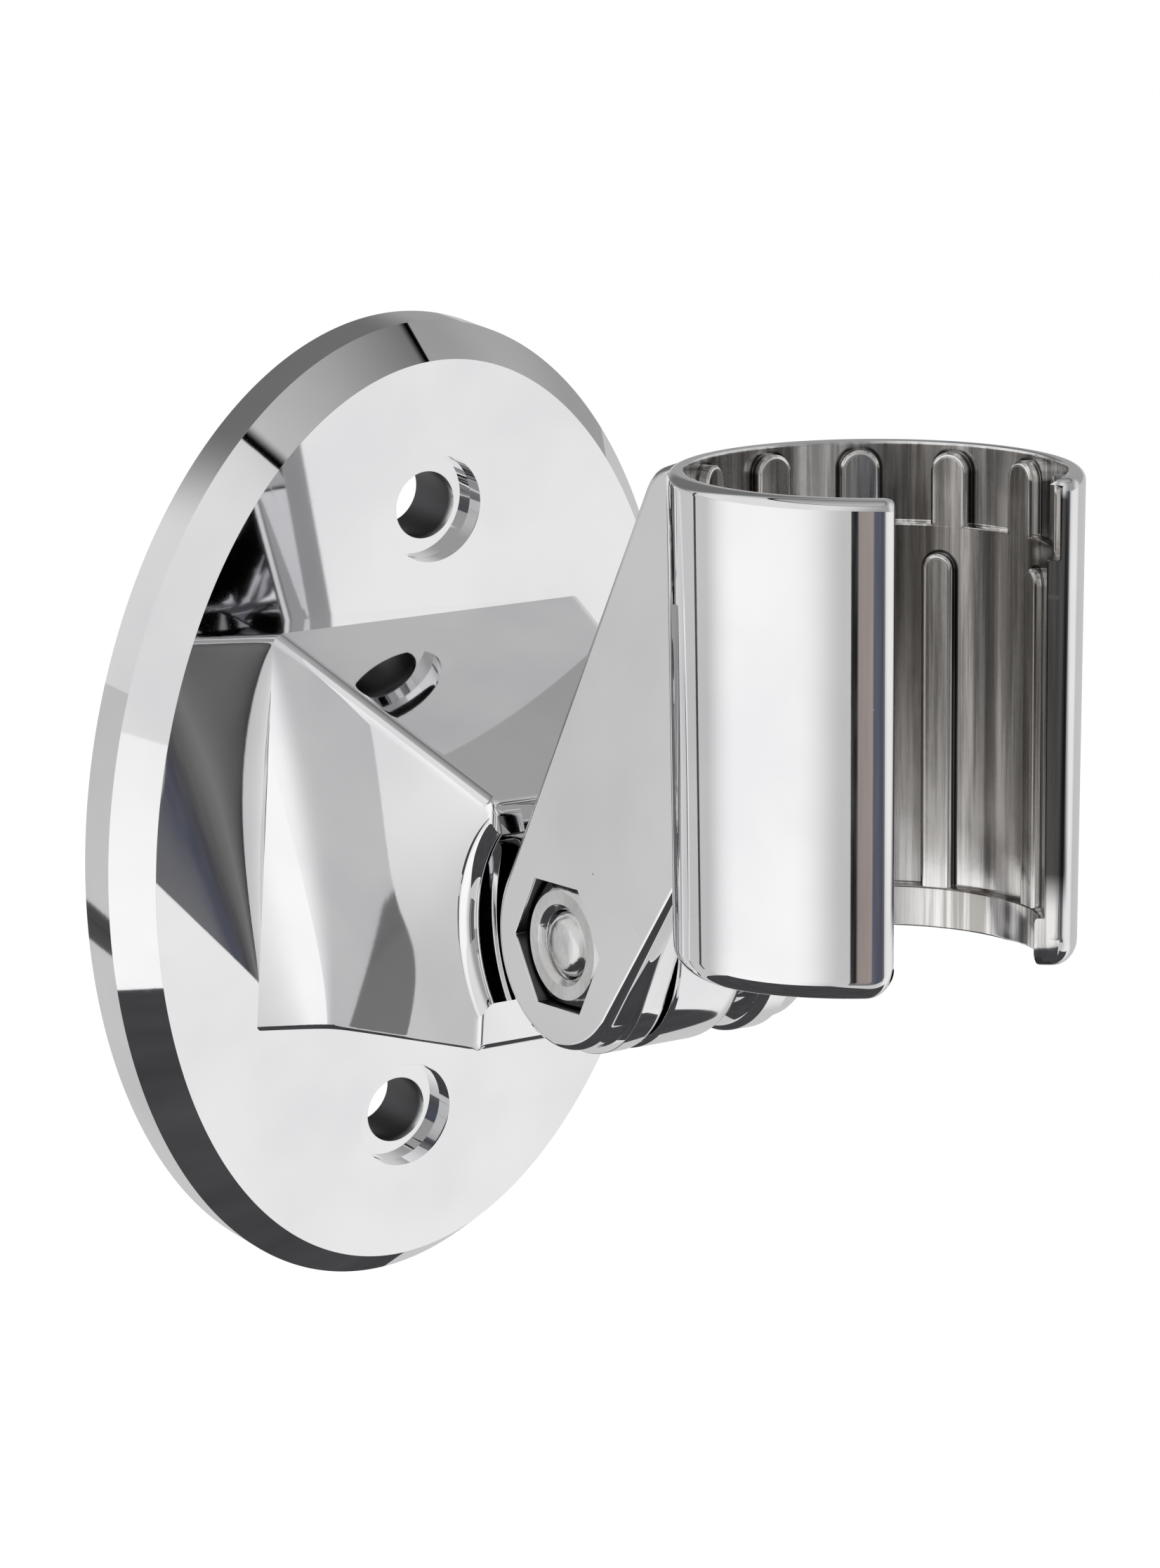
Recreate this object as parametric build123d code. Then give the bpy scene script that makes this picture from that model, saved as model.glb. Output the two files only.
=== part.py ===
from build123d import *
import math
import os

# Adjustable wall bracket for a hand shower. Millimetres, Z up, the wall is the plane Y = 0
# and everything stands out of it towards -Y. X = 0 is the plane of symmetry.

# Wall plate
plate_width = 59.6
plate_height = 88.0
plate_thickness = 7.5
plate_side_height = 3.9
face_width = 54.4
face_height = 82.6
moulding_wall = 2.6
screw_spacing = 56.0
screw_hole_diameter = 6.0
screw_head_recess_diameter = 9.5
screw_head_recess_depth = 1.6
screw_boss_wall = 2.0

# Block on the plate
block_half_width_at_plate = 16.2
block_top_at_plate = 18.5
block_bottom_at_plate = 17.6
neck_side_step = 1.5
neck_length = 27.7
neck_top_at_tip = 10.5
neck_bottom_at_tip = 11.4
wing_corner_rise = 4.6
wing_corner_sharpness = 7.0
ridge_radius = 1.0
neck_corner_radius = 0.4
hollow_depth = 27.0
mouth_half_width = 13.4
mouth_half_height = 14.6

# Pivot joint
pivot_out = 43.3
pivot_up = 0.2
bolt_diameter = 6.0
running_clearance = 0.05
fork_half_gap = 5.1
knuckle_nut_side = 4.6
knuckle_head_side = 3.9
knuckle_radius = 9.4
knuckle_nut_edge_radius = 0.4
knuckle_head_edge_radius = 3.0
washer_clearance = 0.05
washer_diameter = 12.4
pocket_clearance = 1.6
pocket_rim = 1.3

# Fork arms
arm_boss_thickness = 5.2
arm_thin_thickness = 2.9
arm_end_radius = 8.8
arm_edge_radius = 0.5
arm_top_lean = 23.5
arm_bottom_lean = 32.9
arm_top_length = 42.6
arm_bottom_length = 18.0
arm_rim_step_out = 3.0
arm_rim_step_up = 1.3
arm_top_radius = 2.5
boss_radius = 9.4
boss_edge_radius = 0.7
boss_tip_radius = 7.6
boss_tip_out = 7.5
boss_tip_up = 15.0

# Cradle
cradle_axis_out = 72.9
cradle_lean = 6.2
cradle_radius = 16.44
cradle_bottom_radius = 16.05
cradle_top = 45.95
cradle_bottom = 6.1
cradle_bottom_slope = 2.7
upper_bore_radius = 15.0
bore_radius = 13.95
upper_ledge_height = 39.3
lower_ledge_height = 9.55
seat_radius = 13.1
gap_half_angle = 32.5
rim_edge_radius = 0.9
lip_corner_radius = 2.2
lip_edge_radius = 1.0
arch_width = 3.2
arch_top = 45.2
arch_angles = [57, 87, 117, 147, 177, 207, 237, 267, 297]
rib_width = 2.6
rib_top = 37.0
rib_set_back = 0.1
rib_angles = [75, 120, 165, 210, 255, 300]

# Nut and bolt
nut_across_flats = 10.0
nut_height = 3.2
nut_sink = 0.5
nut_turn = 53.3
nut_recess_clearance = 0.25
head_diameter = 10.0
head_height = 3.0
head_sink = 0.2
head_recess_clearance = 0.5
cross_recess_width = 1.3
cross_recess_length = 5.2
cross_recess_depth = 1.8

arm_outer = fork_half_gap + arm_boss_thickness
neck_half_width = arm_outer + neck_side_step
pocket_radius = boss_radius + pocket_clearance
face_y = -plate_thickness
pivot = Vector(0, -pivot_out, pivot_up)


def across(radius, x_from, x_to, center=pivot):
    """Cylinder along X between two stations, coaxial with the pivot unless told otherwise."""
    length = x_to - x_from
    middle = (x_from + x_to) / 2
    return Pos(middle, center.Y, center.Z) * Rot(0, 90, 0) * Cylinder(radius, length)


def outward(sketch, y_from, y_to):
    """Extrude a sketch drawn in X and Z along Y, from one depth to another."""
    start = Plane(origin=(0, y_from, 0), x_dir=(1, 0, 0), z_dir=(0, -1, 0))
    return extrude(start * sketch, amount=y_from - y_to)


def oval_loft(width_a, height_a, y_a, width_b, height_b, y_b):
    lower = Plane(origin=(0, y_a, 0), x_dir=(1, 0, 0), z_dir=(0, -1, 0)) * Ellipse(width_a / 2, height_a / 2)
    upper = Plane(origin=(0, y_b, 0), x_dir=(1, 0, 0), z_dir=(0, -1, 0)) * Ellipse(width_b / 2, height_b / 2)
    return loft([lower.face(), upper.face()])


def plate_body():
    rim = outward(Ellipse(plate_width / 2, plate_height / 2), 0, -plate_side_height)
    bevel = oval_loft(plate_width, plate_height, -plate_side_height, face_width, face_height, face_y)
    return rim + bevel


def plate_hollow():
    inner_width = plate_width - 2 * moulding_wall
    inner_height = plate_height - 2 * moulding_wall
    floor_y = face_y + moulding_wall
    return oval_loft(inner_width, inner_height, 0, face_width - 2 * moulding_wall,
                     face_height - 2 * moulding_wall, floor_y)


def block_top_height(out):
    slope = (block_top_at_plate - neck_top_at_tip) / neck_length
    return block_top_at_plate - slope * (out - plate_thickness)


def block_bottom_height(out):
    slope = (block_bottom_at_plate - neck_bottom_at_tip) / neck_length
    return -block_bottom_at_plate + slope * (out - plate_thickness)


def wing_face(side, shrink):
    """Side of the block: a straight ridge above, an inner corner below, blended between them."""
    root = plate_thickness
    tip = plate_thickness + neck_length
    root_x = block_half_width_at_plate - shrink
    neck_x = neck_half_width - shrink
    top_z = block_top_height(root) - shrink
    tip_z = block_top_height(tip) - shrink
    corner_out = root + wing_corner_rise
    bottom_z = block_bottom_height(root) + shrink
    corner_z = block_bottom_height(corner_out) + shrink
    tip_bottom_z = block_bottom_height(tip) + shrink
    ridge = [
        Vector(side * root_x, -root, top_z),
        Vector(side * (root_x + neck_x) / 2, -(root + tip) / 2, (top_z + tip_z) / 2),
        Vector(side * neck_x, -tip, tip_z),
    ]
    lower = [
        Vector(side * root_x, -root, bottom_z),
        Vector(side * neck_x, -corner_out, corner_z),
        Vector(side * neck_x, -tip, tip_bottom_z),
    ]
    weights = [[1, 1, 1], [1, wing_corner_sharpness, 1]]
    return Face.make_bezier_surface([ridge, lower], weights)


def edge_at(face, level):
    """The edge of a wing whose middle lies highest (level 1) or lowest (level 0)."""
    ordered = face.edges().sort_by(lambda e: e.center().Z)
    return ordered[-1] if level else ordered[0]


def end_edge(face, outermost):
    ordered = face.edges().sort_by(lambda e: e.center().Y)
    return ordered[0] if outermost else ordered[-1]


def block_body(shrink=0.0):
    left = wing_face(-1, shrink)
    right = wing_face(1, shrink)
    corners = {}
    for side, wing in ((-1, left), (1, right)):
        for name, outermost in (("root", False), ("tip", True)):
            edge = end_edge(wing, outermost)
            ends = sorted([edge.position_at(0), edge.position_at(1)], key=lambda p: p.Z)
            corners[(side, name, "low")] = ends[0]
            corners[(side, name, "high")] = ends[1]

    def bar(name, level):
        return Edge.make_line(corners[(-1, name, level)], corners[(1, name, level)])

    top = Face(Wire([edge_at(left, 1), bar("tip", "high"), edge_at(right, 1), bar("root", "high")]))
    bottom = Face(Wire([edge_at(left, 0), bar("tip", "low"), edge_at(right, 0), bar("root", "low")]))
    front = Face(Wire([end_edge(left, True), bar("tip", "high"), end_edge(right, True), bar("tip", "low")]))
    back = Face(Wire([end_edge(left, False), bar("root", "high"), end_edge(right, False), bar("root", "low")]))
    return Solid(Shell([left, right, top, bottom, front, back]))


def eased_block():
    """The block with rounded ridges and thin roundings down its front corners."""
    body = block_body()
    ridges = body.edges().filter_by(
        lambda e: neck_half_width + 0.1 < abs(e.center().X) < block_half_width_at_plate - 0.1 and e.center().Z > 0)
    body = fillet(ridges, ridge_radius)
    corners = body.edges().filter_by(
        lambda e: abs(e.center().X) > neck_half_width - 0.1 and abs(e.tangent_at(0.5).Z) > 0.9
        and e.center().Y < -plate_thickness - neck_length + 0.1)
    body = fillet(corners, neck_corner_radius)
    return body


def knuckle():
    """Round end between the arms, square on the nut's side and well rounded on the bolt head's side."""
    round_end = across(knuckle_radius, -knuckle_nut_side, knuckle_head_side)
    web_back = plate_thickness + neck_length - 4
    web = Pos((knuckle_head_side - knuckle_nut_side) / 2, -(pivot_out + web_back) / 2, pivot_up) * Box(
        knuckle_nut_side + knuckle_head_side, pivot_out - web_back, 2 * knuckle_radius)
    shape = round_end + web
    rims = shape.edges().filter_by(GeomType.CIRCLE).sort_by(Axis.X)
    shape = fillet(rims[0], knuckle_nut_edge_radius)
    rims = shape.edges().filter_by(GeomType.CIRCLE).sort_by(Axis.X)
    return fillet(rims[-1], knuckle_head_edge_radius)


def arm_pocket(side):
    """Round seat in the neck's front that one arm's end turns in, with an eased rim."""
    inner = -knuckle_nut_side if side < 0 else knuckle_head_side
    outer = side * (neck_half_width + 1)
    seat = across(pocket_radius, min(inner, outer), max(inner, outer))
    rim = Pos(side * (neck_half_width - pocket_rim / 2), -pivot_out, pivot_up) * Rot(0, side * 90, 0) * Cone(
        pocket_radius, pocket_radius + pocket_rim, pocket_rim)
    return seat + rim


def wall_bracket():
    block = eased_block()
    block = block - arm_pocket(-1) - arm_pocket(1)
    shell = plate_body() - plate_hollow()
    inner_block = block_body(moulding_wall) - Pos(0, -55 - hollow_depth, 0) * Box(80, 110, 80)
    mouth = outward(Rectangle(2 * mouth_half_width, 2 * mouth_half_height), -0.5, face_y - 0.5)
    for z in (screw_spacing / 2, -screw_spacing / 2):
        boss = outward(Pos(0, z) * Circle(screw_head_recess_diameter / 2 + screw_boss_wall), 0, face_y + 0.5)
        shell = shell + boss
    body = shell + block + knuckle()
    body = body - inner_block - mouth
    for z in (screw_spacing / 2, -screw_spacing / 2):
        hole = outward(Pos(0, z) * Circle(screw_hole_diameter / 2), 1, face_y - 1)
        recess = outward(Pos(0, z) * Circle(screw_head_recess_diameter / 2),
                         face_y + screw_head_recess_depth, face_y - 1)
        body = body - hole - recess
    bore = across(bolt_diameter / 2 + running_clearance, -neck_half_width, neck_half_width)
    return body - bore


def arm_profile():
    """Outline of an arm in Y and Z: a round end with two leaning tangents up to the cradle."""
    top_lean = math.radians(arm_top_lean)
    low_lean = math.radians(arm_bottom_lean)
    r = arm_end_radius
    top_start = Vector(r * math.cos(top_lean), r * math.sin(top_lean))
    low_start = Vector(-r * math.cos(low_lean), -r * math.sin(low_lean))
    top_end = top_start + Vector(-math.sin(top_lean), math.cos(top_lean)) * arm_top_length
    low_end = low_start + Vector(-math.sin(low_lean), math.cos(low_lean)) * arm_bottom_length
    rim_corner = top_end + Vector(-arm_rim_step_out, arm_rim_step_up)
    outline = Polygon((top_start.X, top_start.Y), (top_end.X, top_end.Y), (rim_corner.X, rim_corner.Y),
                      (rim_corner.X - 6, rim_corner.Y), (low_end.X - 4, low_end.Y + 4), (low_end.X, low_end.Y),
                      (low_start.X, low_start.Y), align=None)
    bend = outline.vertices().sort_by_distance((top_end.X, top_end.Y, 0))[0]
    return fillet(bend, arm_top_radius) + Circle(r)


def boss_profile():
    """Outline of the thick part round the bolt, drawn out towards the cradle."""
    round_end = Circle(boss_radius)
    tip = Pos(-boss_tip_out, boss_tip_up) * Circle(boss_tip_radius)
    return make_hull(round_end.edges() + tip.edges())


def arm(side):
    """One arm of the fork, thick round the bolt and thin where it meets the cradle."""
    inner_x = arm_outer - arm_boss_thickness
    thin_x = arm_outer - arm_thin_thickness
    plane = Plane(origin=(side * thin_x, -pivot_out, pivot_up), x_dir=(0, 1, 0), z_dir=(1, 0, 0))
    plate = extrude(plane * arm_profile(), amount=side * arm_thin_thickness)
    outer_edges = plate.faces().sort_by(Axis.X)[-1 if side > 0 else 0].edges()
    plate = fillet(outer_edges, arm_edge_radius)
    boss_plane = Plane(origin=(side * inner_x, -pivot_out, pivot_up), x_dir=(0, 1, 0), z_dir=(1, 0, 0))
    boss = extrude(boss_plane * boss_profile(), amount=side * (thin_x - inner_x))
    inner_edges = boss.faces().sort_by(Axis.X)[0 if side > 0 else -1].edges()
    boss = fillet(inner_edges, boss_edge_radius)
    return plate + boss


def cradle_axis():
    return Pos(0, -cradle_axis_out, 0) * Rot(-cradle_lean, 0, 0)


def pilaster(angle, width, top, inner_radius, outer_radius, bottom):
    """Upright strip with a round top on the inside of the cradle's wall."""
    height = top - width / 2 - bottom
    profile = Pos(0, bottom + height / 2) * Rectangle(width, height)
    profile = profile + Pos(0, bottom + height) * Circle(width / 2)
    plane = Plane(origin=(0, 0, 0), x_dir=(1, 0, 0), z_dir=(0, -1, 0))
    bar = extrude(plane * profile, amount=outer_radius + 1)
    ring = Pos(0, 0, (bottom + top) / 2) * (Cylinder(outer_radius, top - bottom + 2)
                                            - Cylinder(inner_radius, top - bottom + 4))
    return Rot(0, 0, angle) * (bar & ring)


def cradle_shell():
    """The slightly tapered outside in its own frame, axis on Z and the gap towards -Y."""
    height = cradle_top - cradle_bottom
    outer = Pos(0, 0, cradle_bottom + height / 2) * Cone(cradle_bottom_radius, cradle_radius, height)
    floor_cut = Pos(0, 0, cradle_bottom - 9) * Rot(-cradle_bottom_slope, 0, 0) * Pos(0, 0, -1) * Box(60, 60, 20)
    shell = outer - floor_cut
    return shell


def cradle():
    arms = arm(-1) + arm(1)
    inside = Pos(0, 0, 30) * Cylinder(cradle_radius - 0.8, 80)
    wall = cradle_shell()
    wall = wall - Pos(0, 0, 30) * Cylinder(seat_radius, 80)
    wall = wall - Pos(0, 0, lower_ledge_height + 25) * Cylinder(bore_radius, 50)
    wall = wall - Pos(0, 0, upper_ledge_height + 25) * Cylinder(upper_bore_radius, 50)
    wall = wall - gap_wedge()
    wall = ease_wall(wall)
    for angle in arch_angles:
        wall = wall + pilaster(angle, arch_width, arch_top, bore_radius, upper_bore_radius + 0.4,
                               upper_ledge_height - 0.5)
    for angle in rib_angles:
        wall = wall + pilaster(angle, rib_width, rib_top, seat_radius + rib_set_back, bore_radius + 0.4,
                               lower_ledge_height - 0.5)
    body = cradle_axis() * wall + (arms - cradle_axis() * inside)
    body = body - across(bolt_diameter / 2 + running_clearance, -arm_outer - 1, arm_outer + 1)
    recess_depth = nut_sink + nut_height
    body = body - hexagon(nut_across_flats / 2 + nut_recess_clearance, -arm_outer - 1, -arm_outer + recess_depth)
    seat_depth = head_sink + head_height
    body = body - across(head_diameter / 2 + head_recess_clearance, arm_outer - seat_depth, arm_outer + 1)
    return body


def gap_wedge():
    """Everything in front of the cradle's axis between the two lips."""
    half = math.radians(gap_half_angle)
    reach = 2 * cradle_radius
    wedge = Polygon((0, 0), (-reach * math.sin(half), -reach * math.cos(half)), (0, -2 * reach),
                    (reach * math.sin(half), -reach * math.cos(half)), align=None)
    return Pos(0, 0, -10) * extrude(wedge, amount=80, dir=(0, 0, 1))


def beside_gap(edge):
    """True for an edge that lies in one of the two lip planes."""
    half = math.radians(gap_half_angle)
    middle = edge.center()
    off_plane = abs(abs(middle.X) * math.cos(half) + middle.Y * math.sin(half))
    return off_plane < 0.02 and middle.Y < 0


def ease_wall(wall):
    """Round the lips' lower corners, then the lips with the lower edge they run into, then the rim."""
    low_corners = wall.edges().filter_by(
        lambda e: beside_gap(e) and e.center().Z < cradle_bottom + 2 and abs(e.tangent_at(0.5).Z) < 0.2)
    wall = fillet(low_corners, lip_corner_radius)
    lips = wall.edges().filter_by(
        lambda e: beside_gap(e) and abs(e.tangent_at(0.5).Z) > 0.9
        and math.hypot(e.center().X, e.center().Y) > cradle_bottom_radius)
    wall = fillet(lips, lip_edge_radius)
    rim_edges = wall.edges().filter_by(
        lambda e: e.center().Z > cradle_top - 0.1 and e.length > 60)
    outer_rim = rim_edges.sort_by(lambda e: e.length)[-1]
    wall = fillet(outer_rim, rim_edge_radius)
    return wall


def hexagon(apothem, x_from, x_to):
    sketch = Rot(0, 0, nut_turn) * RegularPolygon(apothem, 6, major_radius=False)
    plane = Plane(origin=(x_from, -pivot_out, pivot_up), x_dir=(0, 1, 0), z_dir=(1, 0, 0))
    return extrude(plane * sketch, amount=x_to - x_from)


def hex_nut():
    outer_x = -arm_outer + nut_sink
    body = hexagon(nut_across_flats / 2, outer_x, outer_x + nut_height)
    chamfer_height = 0.55
    corner_radius = nut_across_flats / math.sqrt(3)
    keep = across(corner_radius + 0.05, outer_x + chamfer_height, outer_x + nut_height)
    crown = Pos(outer_x + chamfer_height / 2, -pivot_out, pivot_up) * Rot(0, 90, 0) * Cone(
        nut_across_flats / 2 - 0.15, corner_radius + 0.05, chamfer_height)
    body = body & (keep + crown)
    return body - across(bolt_diameter / 2, outer_x - 1, outer_x + nut_height + 1)


def pivot_bolt():
    head_outer = arm_outer - head_sink
    head_inner = head_outer - head_height
    head = across(head_diameter / 2, head_inner, head_outer)
    head = fillet(head.edges().sort_by(Axis.X)[-1], 1.0)
    shank_end = -arm_outer + nut_sink - 0.2
    shank = across(bolt_diameter / 2, shank_end, head_inner + 0.5)
    shank = fillet(shank.edges().sort_by(Axis.X)[0], 0.9)
    bolt = head + shank
    for turn in (0, 90):
        slot = Pos(head_outer, -pivot_out, pivot_up) * Rot(turn, 0, 0) * Box(
            2 * cross_recess_depth, cross_recess_length, cross_recess_width)
        bolt = bolt - slot
    return bolt


def friction_washers():
    """A thin washer on the nut's side of the knuckle and a thick one on the other side."""
    nut_side = (-fork_half_gap + washer_clearance, -knuckle_nut_side - washer_clearance)
    head_side = (knuckle_head_side + washer_clearance, fork_half_gap - washer_clearance)
    washers = []
    for x_from, x_to in (nut_side, head_side):
        ring = across(washer_diameter / 2, x_from, x_to)
        ring = ring - across(bolt_diameter / 2 + running_clearance, x_from - 1, x_to + 1)
        washers.append(ring)
    return Compound(washers)


os.makedirs("parts", exist_ok=True)
export_step(wall_bracket(), "parts/wall_bracket.step")
export_step(cradle(), "parts/cradle.step")
export_step(hex_nut(), "parts/hex_nut.step")
export_step(pivot_bolt(), "parts/pivot_bolt.step")
export_step(friction_washers(), "parts/friction_washers.step")
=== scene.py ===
import math
import bmesh
import bpy
from mathutils import Matrix, Vector


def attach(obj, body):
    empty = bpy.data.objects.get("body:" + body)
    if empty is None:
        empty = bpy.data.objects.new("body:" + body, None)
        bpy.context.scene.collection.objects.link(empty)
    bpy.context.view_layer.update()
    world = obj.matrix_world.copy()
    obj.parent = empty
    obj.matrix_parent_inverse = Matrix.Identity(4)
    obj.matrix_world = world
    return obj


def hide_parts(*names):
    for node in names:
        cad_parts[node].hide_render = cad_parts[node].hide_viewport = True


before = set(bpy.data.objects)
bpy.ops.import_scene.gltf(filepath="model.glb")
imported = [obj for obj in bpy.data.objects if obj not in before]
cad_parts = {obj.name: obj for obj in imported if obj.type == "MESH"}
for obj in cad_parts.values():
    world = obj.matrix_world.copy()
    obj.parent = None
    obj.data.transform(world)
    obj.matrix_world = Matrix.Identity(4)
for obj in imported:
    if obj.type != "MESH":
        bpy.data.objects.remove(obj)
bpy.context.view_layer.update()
mm = 0.001
print("frame loaded")

camera = {
    "place": (-0.28746, -0.42477, 0.15550),
    "turn": -36.14,
    "rise": 16.67,
    "tilt": 3.25,
    "lens": 137.76,
}


def addCamera(settings):
    turn = math.radians(settings["turn"])
    rise = math.radians(settings["rise"])
    tilt = math.radians(settings["tilt"])
    back = Vector((math.sin(turn) * math.cos(rise), -math.cos(turn) * math.cos(rise), math.sin(rise)))
    right = Vector((math.cos(turn), math.sin(turn), 0))
    up = Vector((-math.sin(turn) * math.sin(rise), math.cos(turn) * math.sin(rise), math.cos(rise)))
    side = right * math.cos(tilt) + up * math.sin(tilt)
    top = up * math.cos(tilt) - right * math.sin(tilt)
    bpy.ops.object.camera_add()
    shot = bpy.context.object
    turned = Matrix((side, top, back)).transposed()
    shot.matrix_world = Matrix.Translation(settings["place"]) @ turned.to_4x4()
    shot.data.lens = settings["lens"]
    shot.data.sensor_width = 36
    shot.data.clip_start = 0.01
    bpy.context.scene.camera = shot


# small tools that every piece uses

def activate(piece):
    if bpy.context.object and bpy.context.object.mode != "OBJECT":
        bpy.ops.object.mode_set(mode="OBJECT")
    bpy.ops.object.select_all(action="DESELECT")
    piece.select_set(True)
    bpy.context.view_layer.objects.active = piece


def openEdit(piece):
    activate(piece)
    bpy.ops.object.mode_set(mode="EDIT")


def closeEdit():
    bpy.ops.object.mode_set(mode="OBJECT")


def pick(kind, test):
    # selects the vertices, edges or faces that pass a test
    mesh = bpy.context.edit_object.data
    bpy.ops.mesh.select_mode(type=kind)
    bpy.ops.mesh.select_all(action="DESELECT")
    shape = bmesh.from_edit_mesh(mesh)
    items = {"VERT": shape.verts, "EDGE": shape.edges, "FACE": shape.faces}[kind]
    for item in items:
        if test(item):
            item.select_set(True)
    shape.select_flush_mode()
    bmesh.update_edit_mesh(mesh)


def middle(edge):
    return (edge.verts[0].co + edge.verts[1].co) / (2 * mm)


def push(x=0, y=0, z=0):
    bpy.ops.mesh.extrude_region_move(TRANSFORM_OT_translate={"value": (x * mm, y * mm, z * mm)})


def faceOut():
    bpy.ops.mesh.select_all(action="SELECT")
    bpy.ops.mesh.remove_doubles(threshold=0.000001)
    bpy.ops.mesh.normals_make_consistent(inside=False)


def modify(piece, kind, **settings):
    activate(piece)
    tool = piece.modifiers.new(kind.lower(), kind)
    for name, value in settings.items():
        setattr(tool, name, value)
    bpy.ops.object.modifier_apply(modifier=tool.name)


def cutWith(piece, cutter):
    modify(piece, "BOOLEAN", operation="DIFFERENCE", solver="EXACT", object=cutter)
    bpy.data.objects.remove(cutter)


def fuseWith(piece, other):
    modify(piece, "BOOLEAN", operation="UNION", solver="EXACT", object=other)
    bpy.data.objects.remove(other)


def roundEdges(piece, width, segments=4, limit=28):
    modify(piece, "BEVEL", width=width * mm, segments=segments, limit_method="ANGLE",
           angle_limit=math.radians(limit), use_clamp_overlap=True, miter_outer="MITER_ARC")


def polish(piece, angle=32):
    activate(piece)
    bpy.ops.object.transform_apply(location=True, rotation=True, scale=True)
    bpy.ops.object.shade_smooth_by_angle(angle=math.radians(angle))
    modify(piece, "WEIGHTED_NORMAL", weight=60, keep_sharp=True)


def onPivot(x=0):
    return Vector((x, -pivot["out"], pivot["up"])) * mm


def addRound(name, radius, length, centre, turn, sides):
    bpy.ops.object.select_all(action="DESELECT")
    bpy.ops.mesh.primitive_cylinder_add(vertices=sides, radius=radius * mm, depth=length * mm,
                                        location=centre, rotation=turn)
    rod = bpy.context.object
    rod.name = name
    bpy.ops.object.transform_apply(location=True, rotation=True, scale=True)
    return rod


def addRod(name, radius, fromX, toX, sides=192):
    # a cylinder on the pivot's axis
    centre = onPivot((fromX + toX) / 2)
    return addRound(name, radius, abs(toX - fromX), centre, (0, math.pi / 2, 0), sides)


def addPost(name, radius, fromY, toY, z):
    # a cylinder square to the wall
    centre = Vector((0, (fromY + toY) / 2, z)) * mm
    return addRound(name, radius, abs(toY - fromY), centre, (math.pi / 2, 0, 0), 128)


def addOutline(name, points, atX, thickness):
    # a ring of points in Y and Z, filled and drawn out along X
    bpy.ops.object.select_all(action="DESELECT")
    bpy.ops.mesh.primitive_circle_add(vertices=len(points), radius=1 * mm, fill_type="NGON")
    piece = bpy.context.object
    piece.name = name
    for vert, (y, z) in zip(piece.data.vertices, points):
        vert.co = (atX * mm, y * mm, z * mm)
    openEdit(piece)
    bpy.ops.mesh.select_all(action="SELECT")
    push(x=thickness)
    faceOut()
    closeEdit()
    return piece


def arcPoints(y, z, radius, start, end, count):
    steps = [math.radians(start + (end - start) * i / count) for i in range(count + 1)]
    return [(y + radius * math.cos(a), z + radius * math.sin(a)) for a in steps]


# oval plate on the wall

plate = {
    "width": 59.6, "height": 88.0, "sideDepth": 3.9, "depth": 7.5,
    "faceWidth": 54.4, "faceHeight": 82.6, "wall": 2.6,
    "screwSpacing": 56.0, "hole": 6.0, "recess": 9.5, "recessDepth": 1.6, "bossWall": 2.0,
    "mouthWidth": 26.8, "mouthHeight": 29.2, "mouthDepth": 10.0, "edgeRound": 0.42,
}


def addOval(name, width, height, sideDepth, faceWidth, faceHeight, depth):
    bpy.ops.object.select_all(action="DESELECT")
    bpy.ops.mesh.primitive_circle_add(vertices=288, radius=0.5 * mm, fill_type="NGON",
                                      rotation=(math.pi / 2, 0, 0))
    oval = bpy.context.object
    oval.name = name
    bpy.ops.object.transform_apply(location=True, rotation=True, scale=True)
    openEdit(oval)
    bpy.ops.mesh.select_all(action="SELECT")
    bpy.ops.transform.resize(value=(width, 1, height), center_override=(0, 0, 0))
    if sideDepth:
        push(y=-sideDepth)
    push(y=sideDepth - depth)
    bpy.ops.transform.resize(value=(faceWidth / width, 1, faceHeight / height),
                             center_override=(0, 0, 0))
    faceOut()
    closeEdit()
    return oval


def buildPlate(size):
    body = addOval("ovalPlate", size["width"], size["height"], size["sideDepth"],
                   size["faceWidth"], size["faceHeight"], size["depth"])
    thin = 2 * size["wall"]
    hollow = addOval("plateHollow", size["width"] - thin, size["height"] - thin, 0,
                     size["faceWidth"] - thin, size["faceHeight"] - thin, size["depth"] - size["wall"])
    activate(hollow)
    hollow.location.y = 0.01 * mm      # clears the plate's back
    cutWith(body, hollow)
    front, screws = -size["depth"], (-size["screwSpacing"] / 2, size["screwSpacing"] / 2)
    for z in screws:
        fuseWith(body, addPost("screwBoss", size["recess"] / 2 + size["bossWall"], -0.02, front + 0.8, z))
    bpy.ops.object.select_all(action="DESELECT")
    bpy.ops.mesh.primitive_cube_add(size=1 * mm, location=(0, (2 - size["mouthDepth"]) / 2 * mm, 0))
    mouth = bpy.context.object
    mouth.scale = (size["mouthWidth"], size["mouthDepth"] + 2, size["mouthHeight"])
    cutWith(body, mouth)
    for z in screws:
        cutWith(body, addPost("screwHole", size["hole"] / 2, 1, front - 1, z))
        cutWith(body, addPost("screwRecess", size["recess"] / 2, front + size["recessDepth"], front - 1, z))
    roundEdges(body, size["edgeRound"])
    polish(body)
    print("oval plate ready", len(body.data.polygons))
    return body


# block with its two blended wings

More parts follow.
